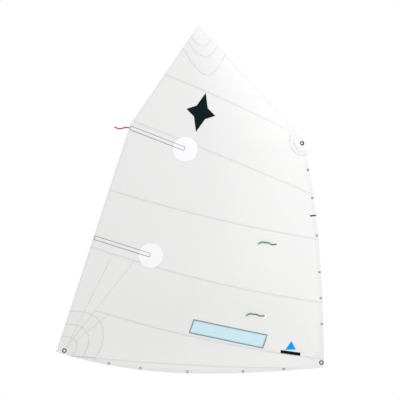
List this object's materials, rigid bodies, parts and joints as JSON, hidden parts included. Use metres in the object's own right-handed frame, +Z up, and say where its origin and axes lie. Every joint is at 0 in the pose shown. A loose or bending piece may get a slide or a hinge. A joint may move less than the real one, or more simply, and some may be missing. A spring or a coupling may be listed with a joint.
{
  "type": "dinghy sprit sail",
  "caption": "White cross-cut sprit sail for a small pram dinghy, with battens in pockets, a window, corner patches, eyelets, a peak becket, telltales and a leech ribbon.",
  "frame": {"origin": "centre of the tack eyelet, in the middle of the cloth", "axes": "+Z up the luff side of the hoisted sail, +X forward from leech to luff, +Y to port; the hollow bellies to starboard, -Y"},
  "size_m": [2.0097, 0.1404, 2.6139],
  "materials": {
    "sailcloth": "resin-finished woven polyester sailcloth",
    "patch_cloth": "resin-finished woven polyester sailcloth",
    "tape_cloth": "woven polyester edge tape",
    "pocket_cloth": "woven polyester pocket cloth",
    "disc_cloth": "self-adhesive white insignia cloth",
    "window_film": "clear pale blue film",
    "window_border": "dark stitched border",
    "mark_dark": "dark petrol insignia cloth",
    "mark_blue": "blue insignia cloth",
    "mark_black": "black insignia cloth",
    "webbing": "woven polyester webbing",
    "telltale_green": "light ripstop ribbon",
    "telltale_red": "light ripstop ribbon",
    "dark_nickel": "dark nickel-plated brass",
    "glass_fibre": "pultruded glass fibre"
  },
  "bodies": {
    "sail": {"badge_hull": "mark_black", "badge_sail": "mark_blue", "clew_eyelet": "dark_nickel", "clew_eyelet_washer": "dark_nickel", "clew_patch_1": "patch_cloth", "clew_patch_2": "patch_cloth", "clew_patch_3": "patch_cloth", "foot_eyelet_1": "dark_nickel", "foot_eyelet_2": "dark_nickel", "foot_eyelet_3": "dark_nickel", "foot_eyelet_4": "dark_nickel", "foot_eyelet_5": "dark_nickel", "foot_panel": "sailcloth", "foot_shelf": "sailcloth", "foot_tape": "tape_cloth", "head_panel": "sailcloth", "head_tape": "tape_cloth", "inner_gore": "sailcloth", "leech_gore": "sailcloth", "leech_tape": "tape_cloth", "lower_batten_disc": "disc_cloth", "lower_batten_pocket": "pocket_cloth", "luff_eyelet_1": "dark_nickel", "luff_eyelet_2": "dark_nickel", "luff_eyelet_3": "dark_nickel", "luff_eyelet_4": "dark_nickel", "luff_eyelet_5": "dark_nickel", "luff_eyelet_6": "dark_nickel", "luff_mark_port": "mark_dark", "luff_mark_starboard": "mark_dark", "luff_tape": "tape_cloth", "middle_gore": "sailcloth", "middle_panel": "sailcloth", "peak_becket": "webbing", "peak_patch_1": "patch_cloth", "peak_patch_2": "patch_cloth", "peak_patch_3": "patch_cloth", "shoulder_panel": "sailcloth", "star_mark_port": "mark_dark", "star_mark_starboard": "mark_dark", "tack_eyelet": "dark_nickel", "tack_eyelet_washer": "dark_nickel", "tack_patch": "patch_cloth", "throat_eyelet": "dark_nickel", "throat_eyelet_washer": "dark_nickel", "throat_patch_1": "patch_cloth", "throat_patch_2": "patch_cloth", "upper_batten_disc": "disc_cloth", "upper_batten_pocket": "pocket_cloth", "upper_panel": "sailcloth", "window_border": "window_border", "window_film": "window_film", "window_panel": "sailcloth"},
    "upper_batten_rod": {"upper_batten": "glass_fibre"},
    "lower_batten_rod": {"lower_batten": "glass_fibre"},
    "upper_starboard_telltale": {"upper_telltale_starboard": "telltale_green"},
    "upper_port_telltale": {"upper_telltale_port": "telltale_red"},
    "lower_starboard_telltale": {"lower_telltale_starboard": "telltale_green"},
    "lower_port_telltale": {"lower_telltale_port": "telltale_red"},
    "leech_streamer": {"leech_ribbon": "telltale_red"}
  },
  "joints": [
    {"name": "upper_batten_slide", "type": "slide", "parent": "sail", "child": "upper_batten_rod", "axis": [-0.921, 0.1385, 0.3641], "range_m": [0, 0.445]},
    {"name": "lower_batten_slide", "type": "slide", "parent": "sail", "child": "lower_batten_rod", "axis": [-0.9467, 0.1387, 0.2909], "range_m": [0, 0.445]},
    {"name": "upper_starboard_telltale_swing", "type": "hinge", "parent": "sail", "child": "upper_starboard_telltale", "pos_m": [-0.33748, -0.07396, 0.88441], "axis": [-0.2141, 0.9765, -0.0232], "range_deg": [-90, 90]},
    {"name": "upper_port_telltale_swing", "type": "hinge", "parent": "sail", "child": "upper_port_telltale", "pos_m": [-0.33806, -0.07344, 0.91241], "axis": [-0.2137, 0.9766, -0.023], "range_deg": [-90, 90]},
    {"name": "lower_starboard_telltale_swing", "type": "hinge", "parent": "sail", "child": "lower_starboard_telltale", "pos_m": [-0.42447, -0.06684, 0.35256], "axis": [-0.1077, 0.9846, 0.1374], "range_deg": [-90, 90]},
    {"name": "lower_port_telltale_swing", "type": "hinge", "parent": "sail", "child": "lower_port_telltale", "pos_m": [-0.42445, -0.07033, 0.38056], "axis": [-0.1079, 0.9871, 0.1187], "range_deg": [-90, 90]},
    {"name": "leech_ribbon_swing", "type": "hinge", "parent": "sail", "child": "leech_streamer", "pos_m": [-1.43839, 0.00109, 1.76003], "axis": [0.1319, 0.9903, -0.043], "range_deg": [-90, 90]}
  ]
}
